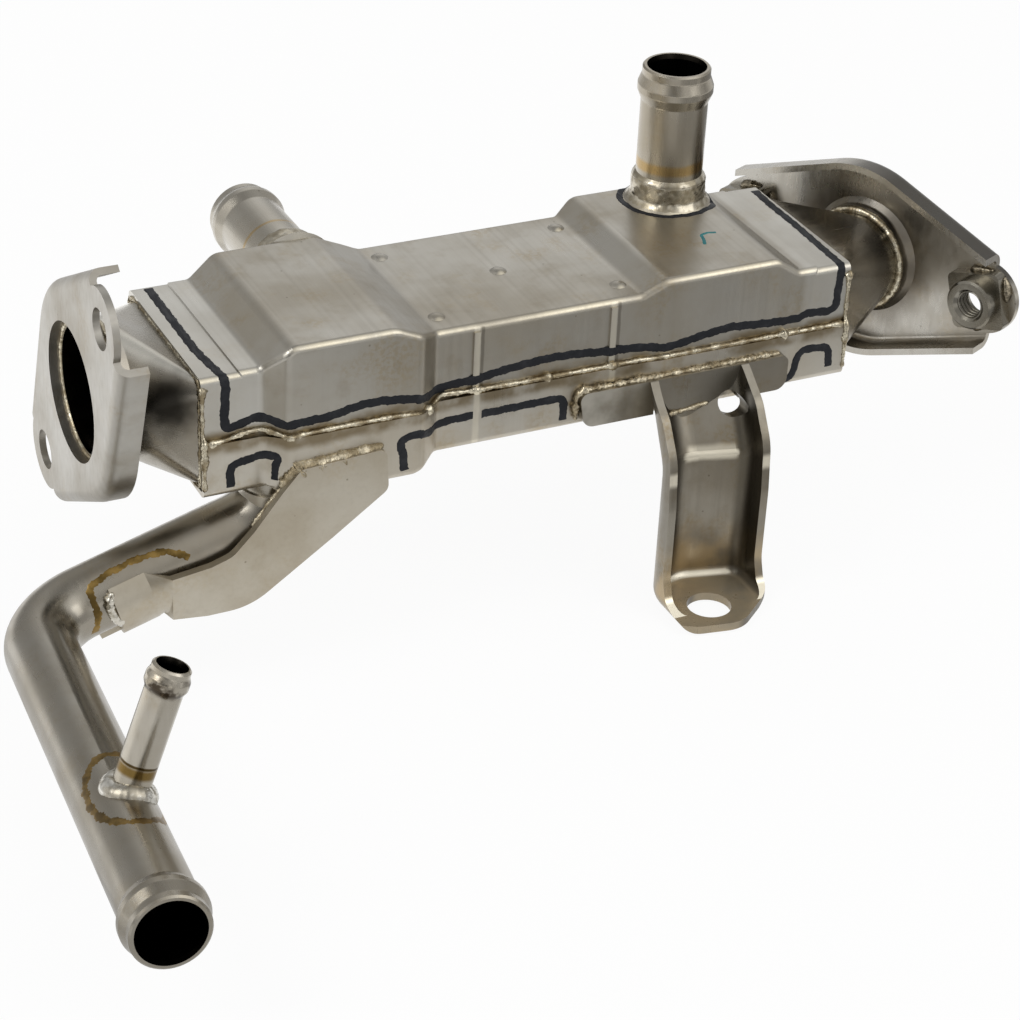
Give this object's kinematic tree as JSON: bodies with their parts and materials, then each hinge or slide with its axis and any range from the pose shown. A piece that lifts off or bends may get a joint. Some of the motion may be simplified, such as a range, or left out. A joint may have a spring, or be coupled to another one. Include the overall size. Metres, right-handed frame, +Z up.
{
  "type": "egr cooler",
  "caption": "Brazed stainless exhaust gas cooler: flat box core with coolant pipes, a bolted flange at each end, a bent inlet pipe and a mounting bracket.",
  "frame": {"origin": "centre of the inlet flange's bore on its mating face", "axes": "+X along the core from the inlet flange to the outlet, +Y to the rear coolant pipe's side, +Z up along the coolant outlet pipe"},
  "size_m": [0.2598, 0.1963, 0.1124],
  "materials": {
    "casing_steel": "satin",
    "flange_steel": "satin",
    "bracket_steel": "satin",
    "pipe_steel": "satin",
    "diffuser_steel": "satin",
    "nut_steel": "satin",
    "core_steel": "satin"
  },
  "bodies": {
    "root": {"upper_casing": "casing_steel", "lower_casing": "casing_steel", "inlet_header": "core_steel", "outlet_header": "core_steel", "inlet_diffuser": "diffuser_steel", "outlet_diffuser": "diffuser_steel", "inlet_flange": "flange_steel", "outlet_flange": "flange_steel", "weld_nut_front": "nut_steel", "weld_nut_rear": "nut_steel", "coolant_outlet_pipe": "pipe_steel", "rear_coolant_pipe": "pipe_steel", "coolant_inlet_pipe": "pipe_steel", "branch_pipe": "pipe_steel", "pipe_support_bracket": "bracket_steel", "mounting_bracket": "bracket_steel", "gas_tube_1": "core_steel", "gas_fin_1": "core_steel", "gas_tube_2": "core_steel", "gas_fin_2": "core_steel", "gas_tube_3": "core_steel", "gas_fin_3": "core_steel", "gas_tube_4": "core_steel", "gas_fin_4": "core_steel", "gas_tube_5": "core_steel", "gas_fin_5": "core_steel"}
  },
  "joints": []
}
